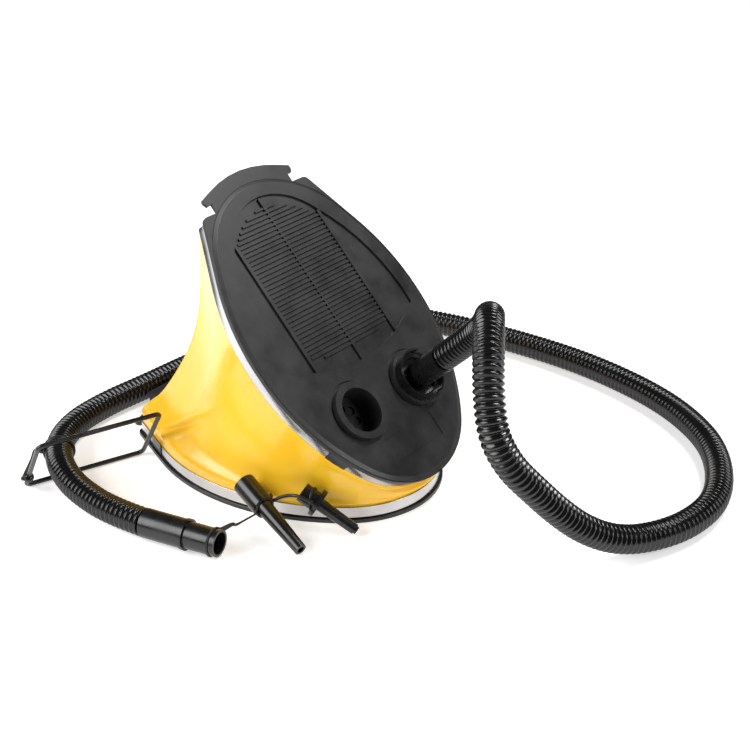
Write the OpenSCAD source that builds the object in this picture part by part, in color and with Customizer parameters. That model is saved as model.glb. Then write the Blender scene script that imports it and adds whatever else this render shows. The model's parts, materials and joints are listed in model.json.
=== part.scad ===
// Bellows foot air pump. Two plates hinge at their wide end and carry a sheet bellows
// between them. The pedal has an intake port and an outlet port with a corrugated hose.
// Origin: middle of the base plate's underside. +X is towards the hinge, +Z is up.
// Pedal pieces are drawn closed, parallel to the base, and turned open about the hinge.

/* [Plates] */
// Reach of the rounded hinge end from the origin
wide_reach = 142; // [140:1:144]
// Half of the plate's greatest width
half_w = 102; // [101:1:104]
// Radius of the rounded hinge end
end_r = 80; // [78:1:81]
// Radius of the long curve towards the narrow end
narrow_r = 180; // [178:1:182]
// Taper of each side between the long curve and the narrow end, in degrees
taper = 24.6; // [24:0.2:25]
// Distance of the narrow shoulder from the origin
shoulder_u = 127; // [126:1:128]
// Radius of the shoulder's corner
corner_r = 6; // [5.5:0.5:6.5]
// Thickness of each plate
plate_t = 3; // [3:0.5:3.5]
// Height of the rim wall that the bellows is clamped to
wall_h = 11.5; // [11.5:0.5:12]
// Thickness of the rim wall
wall_t = 2.5; // [2:0.5:3]
// Distance of the rim wall from the plate's edge
wall_inset = 4.6; // [4.6:0.1:5]

/* [Latch tab] */
// Reach of the tab's end from the origin
tab_reach = 152.5; // [152:0.5:153]
// Half width of the tab's neck, where the latch loop sits
neck_w = 45.5; // [45:0.5:46]
// Half width of the tab's head
head_w = 52.5; // [52:0.5:53]
// Height of the stop block on the tab
block_h = 16; // [12:1:16]

/* [Hinge] */
// Hinge line's distance from the origin
hinge_x = 133; // [132.5:0.5:133]
// Hinge line's height
hinge_z = 25; // [24.5:0.5:25.5]
// Opening angle of the pedal at rest
open_angle = 46; // [44:1:46]
// Height of the closed pump
closed_h = 47.6; // [47.6:0.2:48.6]
// Radius of the hinge pin
pin_r = 1.6; // [1.4:0.1:1.8]
// Radius of the hinge knuckles
knuckle_r = 3.2; // [3:0.1:3.3]
// Width of the hinge
hinge_w = 24; // [22:1:24]

/* [Ports] */
// Distance of the ports from the origin along the pedal
port_u = 67; // [66:1:68]
// Distance of the ports from the pedal's middle line
port_v = 36.5; // [36:0.5:37]
// Radius of a port's bore
port_r = 19; // [18.5:0.5:19.5]
// Outer radius of a port's collar
collar_r = 24.8; // [24.5:0.1:25.5]
// Height of a port's collar above the pedal
collar_h = 4.4; // [4:0.2:5]
// Height of the pedal's raised middle above its rim
raise_h = 1.6; // [1.2:0.2:1.6]

/* [Tread] */
// Depth of the sunk tread field
field_d = 1.8; // [1:0.1:2]
// Spacing of the cross ribs
rib_pitch = 3.85; // [3.6:0.05:4]
// Width of a cross rib
rib_w = 1.9; // [1.6:0.1:2.2]
// Height of a cross rib above the field
rib_h = 1.3; // [0.8:0.1:1.5]

/* [Bellows] */
// Thickness of the bellows sheet
sheet_t = 0.8; // [0.7:0.1:0.8]
// How far the open sheet draws in, as a share of its height
draw_in = 0.095; // [0.05:0.005:0.1]

/* [Hose] */
// Outer radius of the hose
hose_r = 11.8; // [11.5:0.1:12]
// Bore radius of the hose's end fitting
end_bore_r = 9; // [8:0.5:9.5]

/* [Latch loop] */
// Length of the wire loop, between wire centres
loop_w = 106; // [104:1:108]
// Height of the wire loop, between wire centres
loop_h = 73; // [71:1:75]
// Radius of the wire
wire_r = 2; // [1.8:0.1:2]

/* [Hidden] */
$fn = 64;
eps = 0.01;

// Plate outline
end_c = [wide_reach - end_r, 0];
side_r = (pow(end_c.x, 2) + pow(half_w, 2) - pow(end_r, 2)) / (2 * (half_w - end_r));
side_c = [0, half_w - side_r];
narrow_c = [0, half_w - narrow_r];
blend_a = atan2(-side_c.y, end_c.x);
taper_a = 90 + taper;
neck_u = shoulder_u + 8;

// Raised middle of the pedal: its distance from the edge, and its round narrow end
raise_in = 4.8;
raise_reach = 136;
raise_r = (narrow_c.y * sin(taper_a) + narrow_r - raise_in + raise_reach * cos(taper_a))
    / (1 + cos(taper_a));
under_z = closed_h - raise_h - plate_t;

// Layers of the clamped rim, as distances from the plate's edge
sheet_out = 3.3;
sheet_in = sheet_out + sheet_t;
band_in = 3;
band_out = 2.2;
clip_out = 1.7;
band_h = 10;

// Ports, as heights in the closed pump
lip_r = 16;
lip_z = closed_h - 20;
seat_z = lip_z + 2;
seat_r = 17.6;
grille_t = 2;
bore_z = seat_z + grille_t + 0.3;
stud_r = 2;
flap_t = 1.4;
flap_r = 15.5;
flap_gap = 0.3;
flap_lift = 3;
slot_ring_r = 9.5;
slot_r = 3.6;
slot_count = 6;

// Bays of the tread field
field_bottom = 32;
bar_v = 50.5;
bar_w = 3.2;
seam_w = 1.2;
rib_top = -116;
rib_bottom = 20;

// Return spring
spring_u = 28;
spring_r = 28;
spring_wire_r = 1.7;
spring_turns = 7;
spring_steps = 12;

// Hose route: the first two points lie on the outlet's axis, past the connector's tube
hose_start = closed_h + 41.4;
hose_guide = closed_h + 61.4;
floor_z = 12;
air_route = [
    [165, 33, 148], [179, 25, 163.5], [192, 11, 179], [206, -10, 190],
    [222, -34, 192], [237, -56, 182], [248, -70, 162], [257, -75, 137], [266, -66, 111],
    [276, -46, 84], [285, -25, 59], [295, -4, 38], [307, 20, 22], [320, 47, 14]
];
floor_route = [
    [334, 84, floor_z], [336, 128, floor_z], [319, 173, floor_z], [288, 214, floor_z],
    [246, 244, floor_z], [200, 263, floor_z], [145, 275, floor_z], [92, 279, floor_z],
    [28, 276, floor_z], [-36, 266, floor_z], [-85, 249, floor_z], [-123, 218, floor_z],
    [-146, 175, floor_z], [-158, 125, floor_z], [-164, 75, floor_z], [-167, 33, floor_z],
    [-169, -9, floor_z], [-171.5, -42, floor_z], [-171.5, -68, floor_z],
    [-167, -95, 12.8], [-156, -121, 13.8], [-138, -143, 15.8], [-115, -161, 16.9],
    [-87, -173, 15.2], [-55, -178, 13.2], [-27, -178.5, 13.2]
];
cuff_start = [-3, -176, 13];
cuff_end = [65, -161.5, 13];

// Places of the loose pieces
cone_head = [40, -105, 31];
cone_tip = [112.3, -120.8, 5.4];
nozzle_head = [86.8, -88.4, 33];
nozzle_tip = [129.4, -72.3, 5];
loop_corner = [-98, -85, 2];
bend_r = 5;
loop_turn = 69.8;
loop_tilt = 52.7;
tie_point = [-137.5, -143.6, 15.8];
tie_next = [-129, -150.5, 16.3];

// ---- helpers ----

function arc(c, r, a0, a1, n) =
    [for (i = [0:n]) c + r * [cos(a0 + (a1 - a0) * i / n), sin(a0 + (a1 - a0) * i / n)]];
function rest_of(list) = [for (i = [1:len(list) - 1]) list[i]];
function unit(v) = v / norm(v);
function mix(a, b, t) = a + (b - a) * t;

// Corner radius of the outline at a distance from the edge, and its centre, which
// touches the straight taper and the shoulder
function small_r(inset) = max(corner_r - inset, 1.2);
function corner_x(inset) = small_r(inset) + inset - shoulder_u;
function corner_y(inset) = (narrow_r - inset - small_r(inset) + narrow_c.y * sin(taper_a)
    - corner_x(inset) * cos(taper_a)) / sin(taper_a);

// Outline from the hinge end to the start of the straight taper, on the +Y side
function wide_rim(inset) = concat(
    arc(end_c, end_r - inset, 0, blend_a, 12),
    rest_of(arc(side_c, side_r - inset, blend_a, 90, 10)),
    rest_of(arc(narrow_c, narrow_r - inset, 90, taper_a, 8))
);
// Half of the outline, from the hinge end to the shoulder
function half_rim(inset) = concat(
    wide_rim(inset),
    arc([corner_x(inset), corner_y(inset)], small_r(inset), taper_a, 180, 4)
);
// Half of the outline of the pedal's raised middle
function raised_half() = concat(
    wide_rim(raise_in),
    arc([raise_r - raise_reach, 0], raise_r, taper_a, 180, 12)
);
function mirrored(half) =
    concat(half, [for (i = [len(half) - 1:-1:1]) [half[i].x, -half[i].y]]);
function rim(inset) = mirrored(half_rim(inset));

// A point of the closed pump, moved with the open pedal
function opened(p) = [
    hinge_x + (p.x - hinge_x) * cos(open_angle) + (p.z - hinge_z) * sin(open_angle),
    p.y,
    hinge_z - (p.x - hinge_x) * sin(open_angle) + (p.z - hinge_z) * cos(open_angle)
];
module in_pedal() {
    translate([hinge_x, 0, hinge_z])
        rotate([0, open_angle, 0])
            translate([-hinge_x, 0, -hinge_z])
                children();
}

// Moves a shape drawn along +Z to start at a and point at b
module aimed(a, b) {
    d = b - a;
    translate(a)
        rotate([0, acos(d.z / norm(d)), atan2(d.y, d.x)])
            children();
}

module ring(outer, inner, h) {
    difference() {
        cylinder(r = outer, h = h);
        translate([0, 0, -1]) cylinder(r = inner, h = h + 2);
    }
}

// Smooth curve through points, with two steps a span
function spline_at(p0, p1, p2, p3, t) = 0.5 * (2 * p1 + (p2 - p0) * t
    + (2 * p0 - 5 * p1 + 4 * p2 - p3) * t * t + (3 * p1 - p0 - 3 * p2 + p3) * t * t * t);
function spline(p, steps) = concat(
    [for (i = [0:len(p) - 2], k = [0:steps - 1])
        spline_at(p[max(i - 1, 0)], p[i], p[i + 1], p[min(i + 2, len(p) - 1)], k / steps)],
    [p[len(p) - 1]]
);

// Round tube swept along points, one polyhedron
function along(p, i) = unit(p[min(i + 1, len(p) - 1)] - p[max(i - 1, 0)]);
function tube_ring(c, d, r, sides) =
    let (a = unit(cross(d, [0.29, 0.13, 0.95])), b = cross(d, a))
    [for (k = [0:sides - 1]) c + r * (a * cos(360 * k / sides) + b * sin(360 * k / sides))];
// The two triangles between rings i and j, from corner k to the next
function wall_pair(i, j, k, sides) =
    let (a = i * sides + k, b = i * sides + (k + 1) % sides,
         c = j * sides + k, d = j * sides + (k + 1) % sides)
    [[a, c, b], [c, d, b]];
module tube(p, r, sides) {
    n = len(p);
    points = [for (i = [0:n - 1]) each tube_ring(p[i], along(p, i), r, sides)];
    walls = [for (i = [0:n - 2], k = [0:sides - 1]) each wall_pair(i, i + 1, k, sides)];
    start_cap = [for (k = [0:sides - 1]) k];
    end_cap = [for (k = [sides - 1:-1:0]) (n - 1) * sides + k];
    polyhedron(points, concat(walls, [start_cap, end_cap]), convexity = 10);
}

// ---- plates ----

module tab_2d() {
    half = concat(
        [[-shoulder_u + 12, neck_w], [-neck_u, neck_w], [-neck_u + 0.5, head_w - 2],
         [-neck_u - 3, head_w], [-neck_u - 6, head_w - 0.5]],
        [for (v = [40, 28, 14]) [-tab_reach + pow(v / head_w, 2) * 12.5, v]]
    );
    polygon(concat(half, [[-tab_reach, 0]],
        [for (i = [len(half) - 1:-1:0]) [half[i].x, -half[i].y]]));
}

module plate_2d() {
    polygon(rim(0));
    tab_2d();
}

// One plate lying on its outer face, with its rim wall and the stop block on its tab
module plate_blank() {
    linear_extrude(plate_t) plate_2d();
    linear_extrude(plate_t + wall_h) difference() {
        polygon(rim(wall_inset));
        polygon(rim(wall_inset + wall_t));
    }
    translate([-tab_reach + 3, -25, plate_t - 1]) cube([11, 50, block_h + 1]);
    translate([spring_u, 0, plate_t - 1]) ring(25, 22.5, 6);
}

module base_plate() {
    color("#1b1b1d") plate_blank();
}

// The sunk tread field
function field_half() = concat(
    arc([field_bottom - 169, 0], 169, 0, 30.05, 6),
    rest_of(arc([0, -69.7], 154.7, 86.5, 129.3, 8)),
    rest_of(arc([-66.5, 0], 59, 122.2, 180, 8))
);

// Half length of the cross rib at u
function rib_half(u) = min(bar_v,
    u < -92 ? sqrt(max(pow(65.1, 2) - pow(u + 50.9, 2), 1))
            : u > 11 ? sqrt(max(pow(146, 2) - pow(u + 126, 2), 1)) : bar_v);

module bar(v, u0, u1, h = field_d, w = bar_w) {
    translate([u0, v - w / 2, closed_h - field_d - 0.5])
        cube([u1 - u0, w, h + 0.5]);
}

module tread() {
    for (u = [rib_top + 1:rib_pitch:rib_bottom - 1])
        translate([u - rib_w / 2, -rib_half(u), closed_h - field_d - 0.5])
            cube([rib_w, 2 * rib_half(u), rib_h + 0.5]);
    for (side = [-1, 1]) bar(side * bar_v, -96, 24);
    bar(0, -124, -113);
    bar(0, -114, 18, rib_h, seam_w);
    bar(0, 17, 32);
}

module port_solid(v) {
    translate([port_u, v, lip_z]) cylinder(r = port_r + 2.5, h = closed_h - lip_z);
    translate([port_u, v, closed_h - 1]) cylinder(r = collar_r, h = collar_h + 1);
}

// Bore, grille seat and lip of a port, and the groove round its collar
module port_hole(v) {
    translate([port_u, v, bore_z]) cylinder(r = port_r, h = 40);
    translate([port_u, v, seat_z]) cylinder(r = seat_r, h = 10);
    translate([port_u, v, lip_z - 1]) cylinder(r = lip_r, h = 10);
    translate([port_u, v, closed_h - 1]) ring(collar_r + 2.2, collar_r, 2);
}

module pedal_plate() {
    color("#1b1b1d") in_pedal() difference() {
        union() {
            translate([0, 0, closed_h - raise_h]) mirror([0, 0, 1]) plate_blank();
            translate([0, 0, under_z + 0.5])
                linear_extrude(closed_h - under_z - 0.5) polygon(mirrored(raised_half()));
            port_solid(port_v);
            port_solid(-port_v);
        }
        difference() {
            translate([0, 0, closed_h - field_d])
                linear_extrude(field_d + 1) polygon(mirrored(field_half()));
            tread();
        }
        port_hole(port_v);
        port_hole(-port_v);
        translate([97, -29.5, closed_h - 0.6]) cube([21, 59, 2]);
    }
}

// ---- bands ----

module band() {
    linear_extrude(band_h) difference() {
        polygon(rim(band_out));
        polygon(rim(band_in));
    }
}

// Crimped overlap of a band, between two distances along the plate, on the -Y side
module band_clip(u0, u1) {
    linear_extrude(band_h + 1) intersection() {
        difference() {
            polygon(rim(clip_out));
            polygon(rim(band_out - 0.05));
        }
        translate([u0, -half_w - 5]) square([u1 - u0, half_w]);
    }
}

module base_band() {
    color("silver") translate([0, 0, plate_t + 0.5]) band();
}

module base_band_clip() {
    color("#2a2a2c") translate([0, 0, plate_t + 0.2]) band_clip(-97, -79);
}

module pedal_band() {
    color("silver") in_pedal() translate([0, 0, under_z - 0.5 - band_h]) band();
}

module pedal_band_clip() {
    color("#2a2a2c") in_pedal() translate([0, 0, under_z - 1.2 - band_h]) band_clip(83, 99);
}

// ---- hinge ----

// Side view of a hinge leaf; up is +1 for the base and -1 for the pedal
module leaf_2d(floor_h, up) {
    polygon([[100, floor_h], [127, floor_h], [134.5, hinge_z - 1.2 * up],
        [131, hinge_z - 0.8 * up], [124, floor_h + 2 * up], [100, floor_h + 2 * up]]);
}

// Slice of a leaf between two distances from the middle
module leaf_slice(floor_h, up, y0, y1) {
    translate([0, y1, 0]) rotate([90, 0, 0]) linear_extrude(y1 - y0) leaf_2d(floor_h, up);
    translate([hinge_x, y1, hinge_z]) rotate([90, 0, 0]) cylinder(r = knuckle_r, h = y1 - y0);
}

module leaf_foot(floor_h) {
    translate([100, -hinge_w / 2, floor_h]) cube([22, hinge_w, 2]);
}

module pin_hole(clearance) {
    translate([hinge_x, hinge_w, hinge_z])
        rotate([90, 0, 0]) cylinder(r = pin_r + clearance, h = 2 * hinge_w);
}

module base_hinge_leaf() {
    color("silver") difference() {
        union() {
            leaf_slice(plate_t, 1, -hinge_w / 2, -5.5);
            leaf_slice(plate_t, 1, 5.5, hinge_w / 2);
            leaf_foot(plate_t);
        }
        pin_hole(0.02);
    }
}

module pedal_hinge_leaf() {
    color("silver") in_pedal() difference() {
        union() {
            leaf_slice(under_z, -1, -5.2, 5.2);
            leaf_foot(under_z - 2);
        }
        pin_hole(0.05);
    }
}

module hinge_pin() {
    color("silver") {
        translate([hinge_x, hinge_w / 2 + 0.5, hinge_z])
            rotate([90, 0, 0]) cylinder(r = pin_r, h = hinge_w + 1);
        for (side = [-1, 1])
            translate([hinge_x, side * (hinge_w / 2 + 0.75) + 0.5, hinge_z])
                rotate([90, 0, 0]) cylinder(r = pin_r + 0.7, h = 1);
    }
}

// Two round-head screws that hold a leaf, with their shanks in the plate
module screws(head_z, up) {
    for (side = [-1, 1]) translate([108, side * 7.5, head_z]) {
        translate([0, 0, up > 0 ? 0 : -1.8]) cylinder(r = 3, h = 1.8);
        translate([0, 0, up > 0 ? -5 : 0]) cylinder(r = 1.4, h = 5);
    }
}

module base_hinge_screws() {
    color("dimgray") screws(plate_t + 2, 1);
}

module pedal_hinge_screws() {
    color("dimgray") in_pedal() screws(under_z - 2, -1);
}

// ---- return spring ----

spring_a = [spring_u, 0, plate_t + spring_wire_r + 0.2];
spring_b = opened([spring_u, 0, under_z - spring_wire_r - 0.2]);
spring_pull = norm(spring_b - spring_a) * 0.36;
spring_pa = spring_a + [0, 0, spring_pull];
spring_pb = spring_b - spring_pull * [sin(open_angle), 0, cos(open_angle)];
function spring_axis(t) = pow(1 - t, 3) * spring_a + 3 * pow(1 - t, 2) * t * spring_pa
    + 3 * (1 - t) * t * t * spring_pb + pow(t, 3) * spring_b;
function spring_dir(t) =
    unit(spring_axis(min(t + 0.01, 1)) - spring_axis(max(t - 0.01, 0)));
function coil_point(t) =
    let (d = spring_dir(t), a = unit(cross([0, 1, 0], d)), turn = 360 * spring_turns * t)
    spring_axis(t) + spring_r * (a * cos(turn) + [0, 1, 0] * sin(turn));

module return_spring() {
    steps = spring_turns * spring_steps;
    inner = [for (i = [0:steps]) coil_point(0.03 + 0.94 * i / steps)];
    color("gray") tube(inner, spring_wire_r, 6);
}

// ---- bellows ----

bellows_steps = [0, 0.04, 0.1, 0.18, 0.28, 0.4, 0.52, 0.64, 0.76, 0.88, 1];
rim_n = len(rim(sheet_out));
edge_out = rim(3);
edge_in = rim(4);
function outward(k) =
    let (d = unit(edge_out[k] - edge_in[k])) [d.x, d.y, 0];
function opened_dir(v) = opened(v + [hinge_x, 0, hinge_z]) - [hinge_x, 0, hinge_z];
// How far the sheet stands outside the straight line between its two clamps
function belly(t, height) = -draw_in * height * sin(180 * t)
    + 0.03 * height * exp(-pow((t - 0.07) / 0.06, 2)) * min(1, 25 * t)
    + 3.5 * sin(180 * t) * max(0, 1 - height / 40);
function sheet_point(k, t, p, shift) =
    let (a = [p.x, p.y, plate_t + wall_h], b = opened([p.x, p.y, under_z - wall_h]),
         side = unit(mix(outward(k), opened_dir(outward(k)), t)))
    mix(a, b, t) + side * (belly(t, norm(b - a)) + shift);
function sheet_rings(inset, shift) =
    let (edge = rim(inset))
    concat(
        [[for (p = edge) [p.x, p.y, plate_t + 1.5]]],
        [for (t = bellows_steps) [for (k = [0:rim_n - 1]) sheet_point(k, t, edge[k], 0)]],
        [[for (p = edge) opened([p.x, p.y, under_z - 1.5])]]
    );
function turned_round(list) = [for (i = [len(list) - 1:-1:0]) list[i]];

module bellows() {
    rings = concat(sheet_rings(sheet_out), turned_round(sheet_rings(sheet_in)));
    n = len(rings);
    faces = [for (i = [0:n - 1], k = [0:rim_n - 1]) each wall_pair(i, (i + 1) % n, k, rim_n)];
    color("#ffc62d") polyhedron([for (r = rings) each r], faces, convexity = 10);
}

// ---- valves ----

module grille(z) {
    difference() {
        translate([port_u, 0, z]) cylinder(r = seat_r - 0.05, h = grille_t);
        for (i = [0:slot_count - 1])
            translate([port_u, 0, z - 1]) rotate([0, 0, 360 * i / slot_count])
                translate([slot_ring_r, 0, 0]) cylinder(r = slot_r, h = grille_t + 2);
    }
}

// Stud of length l with a round head, from z along +Z
module stud(z, l) {
    translate([port_u, 0, z]) cylinder(r = stud_r, h = l);
    translate([port_u, 0, z + l - 1]) cylinder(r = stud_r + 1.5, h = 1.2);
}

module flap(z) {
    translate([port_u, 0, z]) ring(flap_r, stud_r + 0.08, flap_t);
}

module intake_grille() {
    color("#242427") in_pedal() translate([0, -port_v, 0]) {
        grille(seat_z);
        translate([0, 0, 2 * seat_z + eps]) mirror([0, 0, 1]) stud(seat_z, 6.5);
    }
}

module outlet_grille() {
    color("#242427") in_pedal() translate([0, port_v, 0]) {
        grille(seat_z);
        stud(seat_z + grille_t - eps, 6.5);
    }
}

module intake_flap() {
    color("#333336") in_pedal() translate([0, -port_v, 0])
        flap(seat_z - flap_gap - flap_t);
}

module outlet_flap() {
    color("#333336") in_pedal() translate([0, port_v, 0])
        flap(seat_z + grille_t + flap_gap);
}

// ---- hose and its fittings ----

connector_z = closed_h + collar_h;
cup_h = 7.3;
cup_r = 22;
cup_in = 20.4;
well_z = connector_z - 4;
tube_r = 11.7;
module hose_connector() {
    color("#1b1b1d") in_pedal() translate([port_u, port_v, 0]) difference() {
        union() {
            difference() {
                union() {
                    translate([0, 0, well_z - 5]) cylinder(r = port_r - 0.3, h = 10);
                    translate([0, 0, connector_z]) cylinder(r = cup_r, h = cup_h);
                }
                translate([0, 0, well_z]) cylinder(r = 16.5, h = 20);
                translate([0, 0, connector_z + 1.5]) cylinder(r = cup_in, h = 20);
            }
            translate([0, 0, well_z - 1]) cylinder(r = tube_r, h = hose_start - well_z);
            for (a = [65, 245])
                rotate([0, 0, a]) translate([11, -1.2, well_z - 1]) cube([6.5, 2.4, 6]);
        }
        translate([0, 0, well_z - 6]) cylinder(r = 9.5, h = 70);
        translate([0, 0, well_z - 3]) ring(port_r + 1, 17.8, 2.5);
        for (a = [13, 138])
            rotate([0, 0, a]) translate([17.5, -4.5, connector_z + 2.2]) cube([7, 9, 8]);
    }
}

module connector_seal() {
    color("#3a3a3d") in_pedal()
        translate([port_u, port_v, well_z - 2.9]) ring(port_r - 0.05, 17.9, 2.3);
}

hose_route = concat(
    [opened([port_u, port_v, hose_start]), opened([port_u, port_v, hose_guide])],
    air_route, floor_route, [cuff_start]
);

module hose() {
    color("#222224") tube(spline(hose_route, 2), hose_r, 10);
}

module hose_end_cuff() {
    l = norm(cuff_end - cuff_start);
    color("#1b1b1d") aimed(cuff_start, cuff_end) difference() {
        union() {
            translate([0, 0, 1.5]) cylinder(r = 12, h = 38);
            translate([0, 0, 38.5]) cylinder(r = 12.8, h = 3);
            translate([0, 0, 2]) cylinder(r = 11, h = l - 2);
        }
        translate([0, 0, 6]) cylinder(r = end_bore_r, h = l);
    }
}

// ---- loose pieces on the hose ----

// Strap round the hose, with a leash to an eye that holds the latch loop's short side
loop_dir = [cos(loop_turn), sin(loop_turn), 0];
loop_side = [sin(loop_turn) * cos(loop_tilt), -cos(loop_turn) * cos(loop_tilt), sin(loop_tilt)];
eye_c = loop_corner - loop_dir * loop_w + loop_side * 16;
module hose_tie() {
    d = unit(tie_next - tie_point);
    out = unit([d.y, -d.x, 0]);
    color("#222224") {
        aimed(tie_point - d * 3.5, tie_next) ring(hose_r + 2.4, hose_r + 0.9, 7);
        tube(spline([tie_point + out * 13.6, tie_point + out * 20 + [0, 0, 1],
            mix(tie_point + out * 20, eye_c, 0.5) + [0, 0, 4], eye_c - loop_dir * 5], 3), 1.6, 8);
        aimed(eye_c, eye_c + loop_side) rotate_extrude() translate([4, 0]) circle(r = 1.3, $fn = 24);
    }
}

module adapter_cone() {
    l = norm(cone_tip - cone_head);
    color("#1b1b1d") aimed(cone_head, cone_tip) difference() {
        union() {
            cylinder(r = 9.4, h = 27);
            translate([0, 0, 26]) cylinder(r1 = 6.9, r2 = 5, h = l - 26);
            translate([0, 5, 21]) rotate([-90, 0, 0]) cylinder(r = 2, h = 7.5);
        }
        translate([0, 0, -1]) cylinder(r = 7.6, h = 26);
        cylinder(r = 3, h = l + 1);
    }
}

module adapter_nozzle() {
    l = norm(nozzle_tip - nozzle_head);
    color("#1b1b1d") aimed(nozzle_head, nozzle_tip) difference() {
        union() {
            cylinder(r = 8, h = 15);
            translate([0, 0, 13.5]) cylinder(r = 11.8, h = 3.8);
            translate([0, 0, 16]) cylinder(r1 = 5.3, r2 = 4.5, h = l - 18);
            translate([0, 0, l - 3]) cylinder(r = 3.4, h = 3);
        }
        translate([0, 0, -1]) cylinder(r = 5.8, h = 14);
        cylinder(r = 1.8, h = l + 1);
    }
}

module strap_eye(a, b, at, r) {
    aimed(mix(a, b, at / norm(b - a)), b)
        rotate_extrude() translate([r + 1.3, 0]) circle(r = 1.1, $fn = 24);
}

module adapter_tether() {
    cuff_d = unit(cuff_end - cuff_start);
    neck = mix(cone_head, cone_tip, 29 / norm(cone_tip - cone_head));
    collar = mix(nozzle_head, nozzle_tip, 11 / norm(nozzle_tip - nozzle_head));
    color("#1b1b1d") {
        aimed(cuff_end - cuff_d * 6.6, cuff_end) ring(12, 11.1, 2.6);
        tube(spline([cuff_end + [-6.9, 9.8, 4.8], cuff_end + [-5, 20, 5.5], [59, -136, 15],
            [61, -127, 16], neck + [-0.8, -8.6, -1.6]], 3), 1.1, 8);
        strap_eye(cone_head, cone_tip, 29, 7);
        tube(spline([neck + [1, 8.2, 2.4], [76, -99.5, 29.5], [86, -98.5, 34],
            [94, -96.5, 34], collar + [4.7, -7.4, 3]], 3), 1.3, 8);
        strap_eye(nozzle_head, nozzle_tip, 11, 8.3);
    }
}

// ---- latch loop ----

// Straight wire and corner of the loop, drawn flat
module loop_wire(x, y, l, turn) {
    translate([x, y, 0]) rotate([0, 0, turn]) rotate([0, 90, 0]) cylinder(r = wire_r, h = l);
}
module loop_bend(x, y, turn) {
    translate([x, y, 0]) rotate([0, 0, turn])
        rotate_extrude(angle = 90) translate([bend_r, 0]) circle(r = wire_r, $fn = 24);
}
module latch_loop() {
    far = bend_r - loop_w;
    high = loop_h - bend_r;
    color("#1d1d1f")
        translate(loop_corner) rotate([0, 0, loop_turn]) rotate([180 - loop_tilt, 0, 0]) {
            loop_wire(far, 0, loop_w - 2 * bend_r, 0);
            loop_wire(far, loop_h, loop_w - 2 * bend_r, 0);
            loop_wire(0, bend_r, loop_h - 2 * bend_r, 90);
            loop_wire(-loop_w, bend_r, loop_h - 2 * bend_r, 90);
            loop_bend(-bend_r, high, 0);
            loop_bend(far, high, 90);
            loop_bend(far, bend_r, 180);
            loop_bend(-bend_r, bend_r, 270);
        }
}

base_plate();
base_band();
base_band_clip();
base_hinge_leaf();
base_hinge_screws();
hinge_pin();
return_spring();
bellows();
pedal_plate();
pedal_band();
pedal_band_clip();
pedal_hinge_leaf();
pedal_hinge_screws();
intake_grille();
outlet_grille();
intake_flap();
outlet_flap();
hose_connector();
connector_seal();
hose();
hose_end_cuff();
hose_tie();
adapter_cone();
adapter_nozzle();
adapter_tether();
latch_loop();
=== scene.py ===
"""Looks of the bellows foot air pump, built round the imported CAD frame. Metres, +Z up."""
import json
import math

import bpy
import numpy as np
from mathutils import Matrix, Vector


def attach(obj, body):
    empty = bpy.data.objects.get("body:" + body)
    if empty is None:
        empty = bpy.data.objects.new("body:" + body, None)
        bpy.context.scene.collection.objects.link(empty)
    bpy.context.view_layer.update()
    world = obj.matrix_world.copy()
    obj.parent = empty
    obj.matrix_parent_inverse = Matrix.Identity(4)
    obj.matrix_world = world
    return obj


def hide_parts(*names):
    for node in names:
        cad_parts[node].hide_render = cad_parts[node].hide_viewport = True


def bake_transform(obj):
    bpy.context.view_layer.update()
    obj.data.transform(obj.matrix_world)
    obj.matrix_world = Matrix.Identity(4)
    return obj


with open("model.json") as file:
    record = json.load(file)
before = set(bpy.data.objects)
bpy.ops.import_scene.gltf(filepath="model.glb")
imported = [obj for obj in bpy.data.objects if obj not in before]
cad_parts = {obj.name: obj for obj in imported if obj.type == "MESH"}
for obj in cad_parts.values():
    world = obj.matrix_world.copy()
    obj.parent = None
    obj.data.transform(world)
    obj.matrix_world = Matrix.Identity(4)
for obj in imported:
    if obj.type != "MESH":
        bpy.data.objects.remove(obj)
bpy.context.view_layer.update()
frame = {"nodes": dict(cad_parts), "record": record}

MM = 0.001

# ---- dimensions shared with the CAD model, in millimetres ----
OPEN_ANGLE = math.radians(46)
HINGE = np.array([133.0, 0.0, 25.0])
CLOSED_H = 47.6
PLATE_T = 3.0
WALL_H = 11.5
RAISE = 1.6
UNDER_Z = CLOSED_H - RAISE - PLATE_T
PORT_U = 67.0
PORT_V = 36.5


# ---- vector and outline helpers ----
def opened(p):
    """Points of the closed pump, moved with the open pedal."""
    q = np.atleast_2d(np.asarray(p, float)) - HINGE
    c, s = math.cos(OPEN_ANGLE), math.sin(OPEN_ANGLE)
    out = np.stack([q[:, 0] * c + q[:, 2] * s, q[:, 1], -q[:, 0] * s + q[:, 2] * c], 1)
    return out + HINGE


def opened_dir(d):
    return opened(np.atleast_2d(d) + HINGE) - HINGE


def unit(v):
    v = np.asarray(v, float)
    return v / np.linalg.norm(v, axis=-1, keepdims=True)


def arc(centre, r, a0, a1, n):
    a = np.radians(np.linspace(a0, a1, n + 1))
    return np.stack([centre[0] + r * np.cos(a), centre[1] + r * np.sin(a)], 1)


END_R, HALF_W, NARROW_R, SHOULDER, CORNER_R = 80.0, 102.0, 180.0, 127.0, 6.0
END_X = 142.0 - END_R
SIDE_R = (END_X**2 + HALF_W**2 - END_R**2) / (2 * (HALF_W - END_R))
BLEND_A = math.degrees(math.atan2(SIDE_R - HALF_W, END_X))
TAPER = 114.6
SIN_T, COS_T = math.sin(math.radians(TAPER)), math.cos(math.radians(TAPER))
DROP = HALF_W - NARROW_R


def wide_rim(inset):
    return np.vstack([
        arc((END_X, 0), END_R - inset, 0, BLEND_A, 40),
        arc((0, HALF_W - SIDE_R), SIDE_R - inset, BLEND_A, 90, 40)[1:],
        arc((0, DROP), NARROW_R - inset, 90, TAPER, 30)[1:],
    ])


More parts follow.
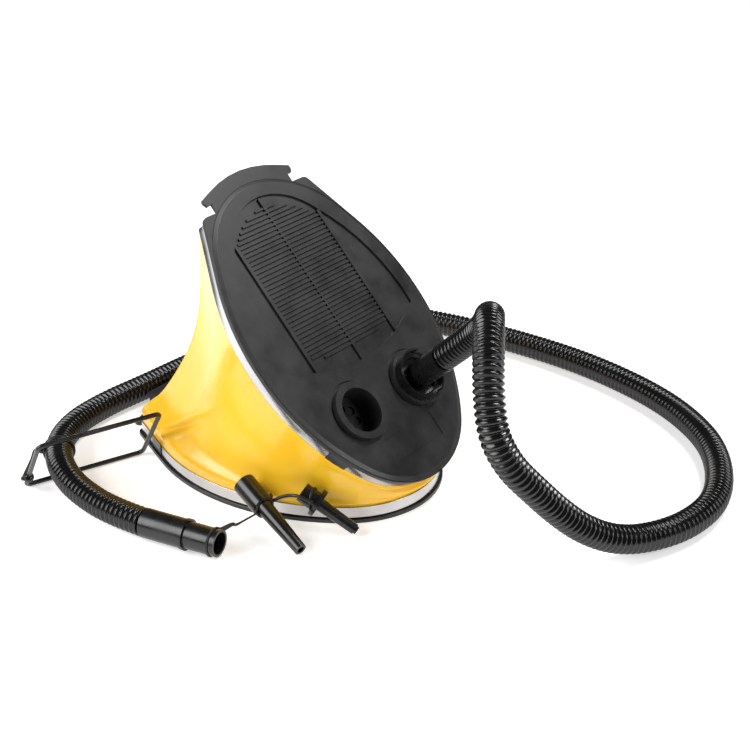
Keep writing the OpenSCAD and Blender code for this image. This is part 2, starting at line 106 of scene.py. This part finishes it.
def both_sides(half, n):
    return even_loop(np.vstack([half, (half * [1, -1])[::-1][:-1]]), n)


def rim(inset, n=260):
    """Plate outline at a distance from its edge, as n evenly spaced points."""
    small = max(CORNER_R - inset, 1.2)
    cx = small + inset - SHOULDER
    cy = (NARROW_R - inset - small + DROP * SIN_T - cx * COS_T) / SIN_T
    return both_sides(np.vstack([wide_rim(inset), arc((cx, cy), small, TAPER, 180, 12)]), n)


def raised(inset, reach, n):
    """Outline of the pedal's raised middle, with its round narrow end."""
    r = (DROP * SIN_T + NARROW_R - inset + reach * COS_T) / (1 + COS_T)
    return both_sides(np.vstack([wide_rim(inset), arc((r - reach, 0), r, TAPER, 180, 40)]), n)


def even_loop(points, n):
    closed = np.vstack([points, points[:1]])
    s = np.concatenate([[0], np.cumsum(np.linalg.norm(np.diff(closed, axis=0), axis=1))])
    at = np.linspace(0, s[-1], n, endpoint=False)
    return np.stack([np.interp(at, s, closed[:, k]) for k in range(closed.shape[1])], 1)


def spline(points, step):
    """Smooth curve through points, resampled to an even step."""
    p = np.asarray(points, float)
    ends = np.vstack([2 * p[0] - p[1], p, 2 * p[-1] - p[-2]])
    t = np.linspace(0, 1, 24, endpoint=False)[:, None]
    out = []
    for i in range(1, len(ends) - 2):
        a, b, c, d = ends[i - 1:i + 3]
        out.append(0.5 * (2 * b + (c - a) * t + (2 * a - 5 * b + 4 * c - d) * t**2
                          + (3 * b - a - 3 * c + d) * t**3))
    q = np.vstack(out + [p[-1:]])
    s = np.concatenate([[0], np.cumsum(np.linalg.norm(np.diff(q, axis=0), axis=1))])
    at = np.linspace(0, s[-1], int(round(s[-1] / step)) + 1)
    return np.stack([np.interp(at, s, q[:, k]) for k in range(3)], 1)


def frames(path):
    """Tangent and two normals along a path, without twist."""
    tan = unit(np.gradient(path, axis=0))
    a = np.cross(tan[0], [0.0, 0.3, 1.0])
    a /= np.linalg.norm(a)
    normals = []
    for t in tan:
        a = a - t * (a @ t)
        a /= np.linalg.norm(a)
        normals.append(a)
    normals = np.array(normals)
    return tan, normals, np.cross(tan, normals)


# ---- mesh helpers ----
def make(name, verts, faces, smooth=True):
    mesh = bpy.data.meshes.new(name)
    mesh.from_pydata((np.asarray(verts) * MM).tolist(), [], faces)
    mesh.validate()
    if smooth:
        mesh.shade_smooth()
    obj = bpy.data.objects.new(name, mesh)
    bpy.context.scene.collection.objects.link(obj)
    return obj


def skin(rings, closed_path=False, caps=True):
    """Faces of a loft: rings is an array (ring, corner, 3)."""
    n, m = rings.shape[:2]
    faces = []
    for i in range(n if closed_path else n - 1):
        j = (i + 1) % n
        for k in range(m):
            q = (k + 1) % m
            faces.append((i * m + k, i * m + q, j * m + q, j * m + k))
    if caps and not closed_path:
        faces.append(tuple(range(m))[::-1])
        faces.append(tuple((n - 1) * m + k for k in range(m)))
    return rings.reshape(-1, 3), faces


def swept(name, path, radii, sides=24):
    _, a, b = frames(path)
    ang = np.linspace(0, 2 * math.pi, sides, endpoint=False)
    circle = a[:, None] * np.cos(ang)[None, :, None] + b[:, None] * np.sin(ang)[None, :, None]
    rings = path[:, None] + circle * np.asarray(radii)[:, None, None]
    return make(name, *skin(rings))


def set_blend(obj):
    """Bakes obj's world transform into its mesh."""
    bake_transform(obj)


def soften(obj, width, segments=2, angle=35):
    """Rounds a CAD piece's sharp edges with a modifier."""
    bevel = obj.modifiers.new("edge", "BEVEL")
    bevel.width = width * MM
    bevel.segments = segments
    bevel.limit_method = "ANGLE"
    bevel.angle_limit = math.radians(angle)
    bevel.harden_normals = False
    return obj


# ---- materials ----
class Shader:
    """A node material with a short way to add and join nodes."""

    def __init__(self, name):
        self.mat = bpy.data.materials.new(name)
        self.mat.use_nodes = True
        self.tree = self.mat.node_tree
        self.bsdf = self.tree.nodes["Principled BSDF"]
        self.coords = self.add("ShaderNodeTexCoord").outputs["Object"]

    def add(self, kind, **props):
        node = self.tree.nodes.new(kind)
        for key, value in props.items():
            setattr(node, key, value)
        return node

    def join(self, a, b):
        self.tree.links.new(a, b)

    def noise(self, scale, detail=3.0, rough=0.5, stretch=None):
        node = self.add("ShaderNodeTexNoise")
        node.inputs["Scale"].default_value = scale
        node.inputs["Detail"].default_value = detail
        node.inputs["Roughness"].default_value = rough
        source = self.coords
        if stretch:
            mapping = self.add("ShaderNodeMapping")
            mapping.inputs["Scale"].default_value = stretch
            self.join(source, mapping.inputs["Vector"])
            source = mapping.outputs["Vector"]
        self.join(source, node.inputs["Vector"])
        return node.outputs["Fac"]

    def ramp(self, source, stops):
        node = self.add("ShaderNodeValToRGB")
        elements = node.color_ramp.elements
        while len(elements) < len(stops):
            elements.new(0.5)
        for element, (pos, colour) in zip(elements, stops):
            element.position = pos
            element.color = (*colour, 1) if len(colour) == 3 else colour
        self.join(source, node.inputs["Fac"])
        return node.outputs["Color"]

    def span(self, source, low, high, a=0.3, b=0.7):
        node = self.add("ShaderNodeMapRange")
        for key, value in zip(("From Min", "From Max", "To Min", "To Max"), (a, b, low, high)):
            node.inputs[key].default_value = value
        self.join(source, node.inputs["Value"])
        return node.outputs["Result"]

    def mix(self, factor, a, b, mode="MIX"):
        node = self.add("ShaderNodeMix", data_type="RGBA", blend_type=mode)
        for socket, value in ((node.inputs[0], factor), (node.inputs[6], a), (node.inputs[7], b)):
            if hasattr(value, "is_linked"):
                self.join(value, socket)
            else:
                socket.default_value = value if isinstance(value, float) else (*value, 1)
        return node.outputs[2]

    def bump(self, height, strength, distance, under=None):
        node = self.add("ShaderNodeBump")
        node.inputs["Strength"].default_value = strength
        node.inputs["Distance"].default_value = distance
        self.join(height, node.inputs["Height"])
        if under is not None:
            self.join(under, node.inputs["Normal"])
        return node.outputs["Normal"]

    def set(self, **values):
        for key, value in values.items():
            socket = self.bsdf.inputs[key.replace("_", " ")]
            if hasattr(value, "is_linked"):
                self.join(value, socket)
            else:
                socket.default_value = value
        return self.mat


def moulded_plastic(name, dark, light, rough_low, rough_high, scuffs=0.5):
    """Black moulded plastic: fine grain, mottled sheen and light scuffs."""
    s = Shader(name)
    blotch = s.noise(38, 5, 0.62)
    scuff = s.noise(90, 8, 0.7, stretch=(1, 3.5, 1))
    grain = s.noise(1900, 2)
    base = s.ramp(blotch, [(0.3, dark), (0.72, light)])
    scuffed = tuple(min(1, 2.2 * c) for c in light)
    worn = s.mix(s.span(scuff, 0.0, scuffs, 0.56, 0.78), base, scuffed)
    rough = s.span(blotch, rough_low, rough_high)
    first = s.bump(grain, 0.06, 0.0003)
    return s.set(Base_Color=worn, Roughness=rough, Normal=s.bump(scuff, 0.04, 0.0005, first),
                 Specular_IOR_Level=0.5)


def steel(name, colour, rough_low, rough_high, stretch=(1, 1, 14)):
    """Rolled steel: brushed bump, faint stains and a changing sheen."""
    s = Shader(name)
    brush = s.noise(420, 4, 0.6, stretch=stretch)
    stain = s.noise(26, 4)
    tone = s.ramp(stain, [(0.3, tuple(0.8 * c for c in colour)), (0.7, colour)])
    return s.set(Base_Color=tone, Metallic=1.0, Roughness=s.span(stain, rough_low, rough_high),
                 Normal=s.bump(brush, 0.03, 0.0002))


def vinyl(name):
    """Glossy yellow sheet: warm depth, uneven colour, soft creases."""
    s = Shader(name)
    cloud = s.noise(14, 3)
    fine = s.noise(240, 3)
    crease = s.noise(46, 6, 0.6, stretch=(1, 1, 0.45))
    base = s.ramp(cloud, [(0.28, (1.0, 0.5, 0.011)), (0.72, (1.0, 0.585, 0.022))])
    first = s.bump(crease, 0.2, 0.004)
    s.set(Base_Color=base, Roughness=s.span(cloud, 0.24, 0.34),
          Normal=s.bump(fine, 0.02, 0.0004, first))
    s.bsdf.inputs["Subsurface Weight"].default_value = 0.3
    s.bsdf.inputs["Subsurface Radius"].default_value = (0.02, 0.009, 0.002)
    s.bsdf.inputs["Coat Weight"].default_value = 0.35
    s.bsdf.inputs["Coat Roughness"].default_value = 0.16
    return s.mat


MATERIALS = {
    "black_plastic": moulded_plastic("plate plastic", (0.0105, 0.0098, 0.0102),
                                     (0.021, 0.0196, 0.0204), 0.32, 0.46),
    # The valve plastic is darker than the plate plastic: its own black with painted shade added for
    # the deep port the valve sits in.
    "valve_plastic": moulded_plastic("valve plastic darkened as painted shade", (0.003, 0.003, 0.003),
                                     (0.006, 0.006, 0.006), 0.3, 0.45, 0.2),
    "fitting_plastic": moulded_plastic("fitting plastic", (0.004, 0.004, 0.0042),
                                       (0.009, 0.0087, 0.009), 0.2, 0.34, 0.35),
    "hose_plastic": moulded_plastic("hose plastic", (0.003, 0.003, 0.0032),
                                    (0.0065, 0.0062, 0.0065), 0.15, 0.25, 0.15),
    "flap_rubber": moulded_plastic("flap rubber", (0.006, 0.006, 0.006), (0.012, 0.012, 0.012),
                                   0.6, 0.75, 0.2),
    "tether_rubber": moulded_plastic("tether rubber", (0.005, 0.005, 0.0052),
                                     (0.011, 0.011, 0.011), 0.36, 0.5, 0.3),
    "latch_wire": moulded_plastic("latch coating", (0.004, 0.004, 0.004),
                                  (0.01, 0.0095, 0.0095), 0.22, 0.38, 0.6),
    "band_steel": steel("band steel", (0.6, 0.6, 0.61), 0.14, 0.26, (1, 1, 5)),
    "clip_steel": steel("clip steel", (0.12, 0.12, 0.125), 0.3, 0.45),
    "hinge_steel": steel("hinge steel", (0.6, 0.6, 0.61), 0.25, 0.4),
    "spring_steel": steel("spring steel", (0.35, 0.34, 0.34), 0.25, 0.4),
    "bellows_vinyl": vinyl("bellows vinyl"),
}


def finish_piece(obj, slot, body=None):
    """Gives a new piece the material for its slot, and its body if one is given."""
    obj.data.materials.clear()
    obj.data.materials.append(MATERIALS[slot])
    if body:
        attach(obj, body)
    return obj


# ---- camera ----
TARGET = Vector((-0.0312, 0.1556, 0.0))
AZIMUTH, ELEVATION, DISTANCE = 38.1, 27.3, 1.4957
camera = bpy.data.objects.new("camera", bpy.data.cameras.new("camera"))
bpy.context.scene.collection.objects.link(camera)
camera.data.lens = 75.6
camera.data.sensor_width = 36
camera.data.clip_start = 0.05
camera.data.clip_end = 30
az, el = math.radians(AZIMUTH), math.radians(ELEVATION)
camera.location = TARGET + DISTANCE * Vector(
    (math.sin(az) * math.cos(el), -math.cos(az) * math.cos(el), math.sin(el)))
camera.rotation_euler = (math.pi / 2 - el, 0, az)
bpy.context.scene.camera = camera

# ---- hose ----
HOSE_R = 11.8
HOSE_SMOOTHING = 260
PITCH = 4.75
FLOOR_Z = 12.0
CUFF_START = [-3, -176, 13.0]
AIR_ROUTE = [
    [165, 33, 148], [179, 25, 163.5], [192, 11, 179], [206, -10, 190],
    [222, -34, 192], [237, -56, 182], [248, -70, 162], [257, -75, 137], [266, -66, 111],
    [276, -46, 84], [285, -25, 59], [295, -4, 38], [307, 20, 22], [320, 47, 14],
]
FLOOR_ROUTE = [
    [334, 84, FLOOR_Z], [336, 128, FLOOR_Z], [319, 173, FLOOR_Z], [288, 214, FLOOR_Z],
    [246, 244, FLOOR_Z], [200, 263, FLOOR_Z], [145, 275, FLOOR_Z], [92, 279, FLOOR_Z],
    [28, 276, FLOOR_Z], [-36, 266, FLOOR_Z], [-85, 249, FLOOR_Z], [-123, 218, FLOOR_Z],
    [-146, 175, FLOOR_Z], [-158, 125, FLOOR_Z], [-164, 75, FLOOR_Z], [-167, 33, FLOOR_Z],
    [-169, -9, FLOOR_Z], [-171.5, -42, FLOOR_Z], [-171.5, -68, FLOOR_Z],
    [-167, -95, 12.8], [-156, -121, 13.8], [-138, -143, 15.8], [-115, -161, 16.9],
    [-87, -173, 15.2], [-55, -178, 13.2], [-27, -178.5, 13.2], CUFF_START,
]
port_axis = opened_dir([0, 0, 1])[0]
EXIT_H, GUIDE_H = 40.3, 61.4
hose_exit = opened([PORT_U, PORT_V, CLOSED_H + EXIT_H])[0]
hose_guide = opened([PORT_U, PORT_V, CLOSED_H + GUIDE_H])[0]


def corrugated(s):
    """Radius along the hose: round crests, wider apart where its weight stretches it."""
    stretch = np.exp(-((s - 285) / 95) ** 2)
    pitch = PITCH * (1 + 0.16 * stretch)
    phase = np.concatenate([[0], np.cumsum(np.diff(s) / pitch[1:])])
    crest = np.abs(np.sin(math.pi * phase)) ** 1.15
    depth = 2.0 + 0.3 * stretch
    return HOSE_R - depth + depth * crest


def build_hose():
    step = PITCH / 10
    path = spline([hose_exit, hose_guide] + AIR_ROUTE + FLOOR_ROUTE, step)
    for _ in range(HOSE_SMOOTHING):
        path[1:-1] += 0.5 * (0.5 * (path[:-2] + path[2:]) - path[1:-1])
    s = np.concatenate([[0], np.cumsum(np.linalg.norm(np.diff(path, axis=0), axis=1))])
    sides = 28
    hose = swept("hose_tube", path, corrugated(s), sides)
    set_blend(hose)
    return hose, path, s[-1]


hose, hose_path, hose_length = build_hose()
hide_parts("hose")
finish_piece(hose, "hose_plastic")

# ---- bellows ----
SHEET_OUT, SHEET_T, DRAW_IN = 3.3, 0.8, 0.095


def bump1(x, centre, width):
    return np.exp(-((x - centre) / width) ** 2)


def tuck(t, around, at, wide, rise, deep):
    """A short crease pressed in beside a corner, with a swelling under it."""
    x = (around - at) / wide
    line = 0.05 + rise * np.clip(x, 0, 1)
    fade = np.clip((x + 0.15) / 0.2, 0, 1) * np.clip((1.05 - x) / 0.6, 0, 1)
    return deep * fade * (1.1 * bump1(t, line - 0.055, 0.035) - 2.0 * bump1(t, line, 0.022)
                          + 0.9 * bump1(t, line + 0.06, 0.04))


def folds(t, around):
    """How far the sheet's creases and the welded seam stand out, in millimetres."""
    hinge = bump1(np.minimum(around, 2 * math.pi - around), 0, 0.62)
    out = tuck(t, around, 4.0, 0.34, 0.26, 1.7) + tuck(t, 2 * math.pi - around, 4.02, 0.3, 0.2, 1.2)
    out += hinge * (1.5 * bump1(t, 0.36, 0.2) - 1.9 * bump1(t, 0.72, 0.1) + bump1(t, 0.9, 0.06))
    out += 1.6 * bump1(around, 5.6, 0.12) * (bump1(t, 0.45, 0.2) - bump1(t, 0.75, 0.12))
    out += 2.2 * bump1(around, 4.95, 0.3) * bump1(t, 0.3, 0.16)
    out += 0.55 * bump1(around, 5.765, 0.018)
    return out * np.clip(12 * t, 0, 1) * np.clip(12 * (1 - t), 0, 1)


def sheet_rings(inset, n, steps):
    edge = rim(inset, n)
    inner, outer = rim(4, n), rim(3, n)
    out = unit(np.column_stack([outer - inner, np.zeros(n)]))
    low = np.column_stack([edge, np.full(n, PLATE_T + WALL_H)])
    high = opened(np.column_stack([edge, np.full(n, UNDER_Z - WALL_H)]))
    height = np.linalg.norm(high - low, axis=1)
    tilted = opened_dir(out)
    rings = [np.column_stack([edge, np.full(n, PLATE_T + 1.5)])]
    around = np.linspace(0, 2 * math.pi, n, endpoint=False)
    for t in steps:
        side = unit((1 - t) * out + t * tilted)
        belly = (-DRAW_IN * height * math.sin(math.pi * t)
                 + 0.03 * height * bump1(t, 0.07, 0.06) * min(1, 25 * t)
                 + 3.5 * math.sin(math.pi * t) * np.clip(1 - height / 40, 0, None))
        ripple = (0.006 * height * math.sin(math.pi * t) ** 0.7
                  * (np.sin(7 * around + 5 * t) * 0.5 + np.sin(17 * around - 3 * t) * 0.15))
        move = belly + ripple + folds(t, around)
        rings.append((1 - t) * low + t * high + side * move[:, None])
    rings.append(opened(np.column_stack([edge, np.full(n, UNDER_Z - 1.5)])))
    return np.array(rings)


def build_bellows():
    n, rows = 420, 81
    steps = np.linspace(0, 1, rows)
    outer = sheet_rings(SHEET_OUT, n, steps)
    inner = sheet_rings(SHEET_OUT + SHEET_T, n, steps)[::-1]
    verts, faces = skin(np.concatenate([outer, inner]), closed_path=True)
    obj = make("bellows_sheet", verts, faces)
    set_blend(obj)
    return obj


bellows = build_bellows()
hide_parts("bellows")
finish_piece(bellows, "bellows_vinyl")


# ---- bands ----
def band(name, low, place, height=9.8, inset=2.35, inner=2.95, n=300):
    """Steel strap with rolled edges round a rim wall."""
    high = low + height
    profile = [(inset, low + 0.5), (inset - 0.1, low + 0.1), (inset + 0.1, low),
               (inner, low), (inner, high), (inset + 0.1, high),
               (inset - 0.1, high - 0.1), (inset, high - 0.5), (inset + 0.12, (low + high) / 2)]
    rings = np.array([np.column_stack([rim(i, n), np.full(n, z)]) for i, z in profile])
    rings = place(rings.reshape(-1, 3)).reshape(rings.shape)
    return make(name, *skin(rings[::-1], closed_path=True))


def as_is(p):
    return np.asarray(p)


base_band = band("base_band_strap", PLATE_T + 0.6, as_is)
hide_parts("base_band")
finish_piece(base_band, "band_steel", "base")
pedal_band = band("pedal_band_strap", UNDER_Z - 10.4, opened)
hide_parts("pedal_band")
finish_piece(pedal_band, "band_steel", "pedal")

# ---- spring ----
SPRING_U, SPRING_R, SPRING_WIRE, SPRING_TURNS = 28.0, 28.0, 1.7, 7


def build_spring():
    a = np.array([SPRING_U, 0, PLATE_T + SPRING_WIRE + 0.2])
    b = opened([SPRING_U, 0, UNDER_Z - SPRING_WIRE - 0.2])[0]
    pull = 0.36 * np.linalg.norm(b - a)
    pa = a + [0, 0, pull]
    pb = b - pull * port_axis
    t = 0.03 + 0.94 * np.linspace(0, 1, SPRING_TURNS * 28 + 1)
    u = t[:, None]
    axis = (1 - u)**3 * a + 3 * (1 - u)**2 * u * pa + 3 * (1 - u) * u**2 * pb + u**3 * b
    d = unit(np.gradient(axis, axis=0))
    across = unit(np.cross([0, 1, 0], d))
    turn = 2 * math.pi * SPRING_TURNS * t
    path = axis + SPRING_R * (across * np.cos(turn)[:, None]
                              + np.array([0, 1, 0]) * np.sin(turn)[:, None])
    sides = 10
    obj = swept("return_spring_coil", path, np.full(len(path), SPRING_WIRE), sides)
    set_blend(obj)
    return obj


spring = build_spring()
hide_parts("return_spring")
finish_piece(spring, "spring_steel")

# ---- moulded slope round the pedal's raised middle ----
def build_slope(n=360):
    """The light-catching slope between the pedal's rim and its raised middle."""
    low = CLOSED_H - RAISE
    rows = ((1.0, low + 0.03), (1.5, low + 0.14), (4.3, CLOSED_H - 0.14), (5.0, CLOSED_H + 0.02),
            (5.4, CLOSED_H - 0.4), (1.4, low - 0.3))
    rings = np.array([np.column_stack([raised(i, 140.8 - i, n), np.full(n, z)])
                      for i, z in rows])
    rings = opened(rings.reshape(-1, 3)).reshape(rings.shape)
    return make("pedal_slope", *skin(rings[::-1], closed_path=True))


slope = build_slope()
finish_piece(slope, "black_plastic", "pedal")

# ---- hose tie and adapter tether ----
def merged(name, tubes, sides=14):
    """One mesh from several tubes, given as (path, radii)."""
    verts, faces, count = [], [], 0
    for path, radii in tubes:
        path = np.asarray(path, float)
        _, a, b = frames(path)
        ang = np.linspace(0, 2 * math.pi, sides, endpoint=False)
        circle = (a[:, None] * np.cos(ang)[None, :, None]
                  + b[:, None] * np.sin(ang)[None, :, None])
        rings = path[:, None] + circle * (np.zeros(len(path)) + radii)[:, None, None]
        v, f = skin(rings)
        verts.append(v)
        faces += [tuple(count + k for k in face) for face in f]
        count += len(v)
    return make(name, np.vstack(verts), faces), np.vstack(verts)


def ball(centre, axis, r, long=1.0):
    """Path and radii of a knot, a slightly long ball."""
    t = np.linspace(-0.98, 0.98, 11)
    return (np.asarray(centre) + np.outer(t * r * long, unit(axis)), r * np.sqrt(1 - t * t))


def coil(centre, axis, out, r, turns, length, step=14):
    """Turns of cord round an axis, starting on the side that faces out."""
    axis, out = unit(axis), unit(out)
    side = np.cross(axis, out)
    t = np.linspace(0, 1, int(360 * turns / step) + 1)
    a = 2 * math.pi * turns * t
    return (np.asarray(centre) + np.outer((t - 0.5) * length, axis)
            + r * (np.outer(np.cos(a), out) + np.outer(np.sin(a), side)))


LOOP_TURN, LOOP_TILT, LOOP_W = math.radians(69.8), math.radians(52.7), 106
LOOP_CORNER = np.array([-98.0, -85.0, 2.0])
loop_dir = np.array([math.cos(LOOP_TURN), math.sin(LOOP_TURN), 0])
loop_side = np.array([math.sin(LOOP_TURN) * math.cos(LOOP_TILT),
                      -math.cos(LOOP_TURN) * math.cos(LOOP_TILT), math.sin(LOOP_TILT)])


def build_tie():
    tie, ahead = np.array([-137.5, -143.6, 15.8]), np.array([-129, -150.5, 16.3])
    d = unit(ahead - tie)
    out = unit(np.array([d[1], -d[0], 0]))
    eye = LOOP_CORNER - loop_dir * LOOP_W + loop_side * 16
    knot = tie + out * 14.2 + [0, 0, 1.5]
    leash = spline([knot, tie + out * 20 + [0, 0, 2.4],
                    0.5 * (tie + out * 20 + eye) + [0, 0, 4.5], eye - loop_dir * 5], 1.2)
    tail = spline([knot, knot + [1.5, -2.5, 4], knot + [4.5, -3.5, 5.5]], 1.0)
    tubes = [(coil(tie, d, out, HOSE_R + 0.9, 2.0, 4.6), 1.15),
             (coil(tie, d, out, HOSE_R + 0.9, 1.0, -4.2), 1.1),
             ball(knot, out, 2.7, 1.15), (leash, 1.25), (tail, 0.95),
             (coil(eye, loop_side, loop_dir, 3.5, 1.9, 3.8), 1.15),
             ball(eye - loop_dir * 4.6, loop_dir, 2.0)]
    obj, verts = merged("hose_tie_cord", tubes)
    set_blend(obj)
    return obj


tie = build_tie()
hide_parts("hose_tie")
finish_piece(tie, "tether_rubber")


def along(a, b, at):
    a, b = np.asarray(a, float), np.asarray(b, float)
    return a + unit(b - a) * at


def build_tether():
    cuff_end = np.array([65, -161.5, 13.0])
    cuff_d = unit(cuff_end - np.array(CUFF_START))
    cone = (np.array([40, -105, 31.0]), np.array([112.3, -120.8, 5.4]))
    nozzle = (np.array([86.8, -88.4, 33.0]), np.array([129.4, -72.3, 5.0]))
    neck, collar = along(*cone, 29), along(*nozzle, 11)
    up = np.array([0, 0, 1.0])
    first = spline([cuff_end + [-6.9, 10, 4.8], cuff_end + [-5, 20, 5.5], [59, -136, 15],
                    [61, -127, 16], neck + [-0.8, -8.6, -1.6]], 1.2)
    second = spline([neck + [1, 8.2, 2.4], [76, -99.5, 29.5], [86, -98.5, 34],
                     [94, -96.5, 34], collar + [4.7, -7.4, 3]], 1.2)
    taper = np.linspace(0, 1, len(first))
    tubes = [(coil(cuff_end - cuff_d * 5.6, cuff_d, up, 11.55, 1.02, 0.4), 0.6),
             (coil(cuff_end - cuff_d * 4.8, cuff_d, up, 11.55, 1.02, 0.4), 0.6),
             (first, 2.2 - 1.4 * np.clip(taper / 0.62, 0, 1)), (second, 1.45),
             (coil(neck, cone[1] - cone[0], up, 8.1, 1.02, 0.4), 1.1),
             (coil(collar, nozzle[1] - nozzle[0], up, 9.5, 1.02, 0.4), 1.15),
             ball(first[0], cuff_d, 2.3), ball(first[-1], first[-1] - first[-3], 1.6),
             ball(second[0], second[0] - second[2], 1.6),
             ball(second[-1], second[-1] - second[-3], 1.6)]
    return merged("adapter_tether_strap", tubes)[0]


tether = build_tether()
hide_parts("adapter_tether")
finish_piece(tether, "tether_rubber", "base")

# ---- CAD pieces with their finish ----
slots = {s["node"]: s["material_slot"] for s in frame["record"]["subparts"]}
for name, obj in frame["nodes"].items():
    obj.data.materials.clear()
    obj.data.materials.append(MATERIALS[slots[name]])
for name, width in (("pedal_plate", 0.35), ("base_plate", 0.5), ("hose_connector", 0.3),
                    ("hose_end_cuff", 0.4), ("adapter_cone", 0.4), ("adapter_nozzle", 0.4)):
    soften(frame["nodes"][name], width)

# ---- stage and light ----
floor = make("floor", [[-6000, -6000, 0], [6000, -6000, 0], [6000, 6000, 0], [-6000, 6000, 0]],
             [(0, 1, 2, 3)], smooth=False)
floor.location.z = -0.0002
paper = Shader("floor paper")
paper.bsdf.inputs["Emission Color"].default_value = (1, 1, 1, 1)
paper_tone = paper.ramp(paper.noise(3, 2), [(0.3, (0.88, 0.88, 0.88)), (0.7, (0.92, 0.92, 0.92))])
floor.data.materials.append(paper.set(
    Base_Color=paper_tone, Roughness=0.9, Emission_Strength=0.5))


def area(name, at, aim, size, power, colour=(1, 1, 1)):
    light = bpy.data.lights.new(name, "AREA")
    light.shape = "RECTANGLE"
    light.size, light.size_y = size
    light.energy = power
    light.color = colour
    obj = bpy.data.objects.new(name, light)
    bpy.context.scene.collection.objects.link(obj)
    obj.location = at
    obj.rotation_euler = (Vector(aim) - Vector(at)).to_track_quat("-Z", "Y").to_euler()
    return obj


area("key", (-1.0, -1.5, 1.2), (0, 0, 0.1), (1.7, 1.4), 51)
area("fill", (1.75, 0.45, 1.1), (0.1, 0, 0.1), (0.5, 1.0), 13)
area("top", (0.45, 0.95, 1.8), (0.05, 0, 0.05), (0.6, 0.6), 24)
world = bpy.data.worlds.new("studio")
bpy.context.scene.world = world
world.use_nodes = True
world.node_tree.nodes["Background"].inputs["Color"].default_value = (1, 1, 1, 1)
world.node_tree.nodes["Background"].inputs["Strength"].default_value = 0.1
bpy.context.scene.view_settings.view_transform = "Standard"
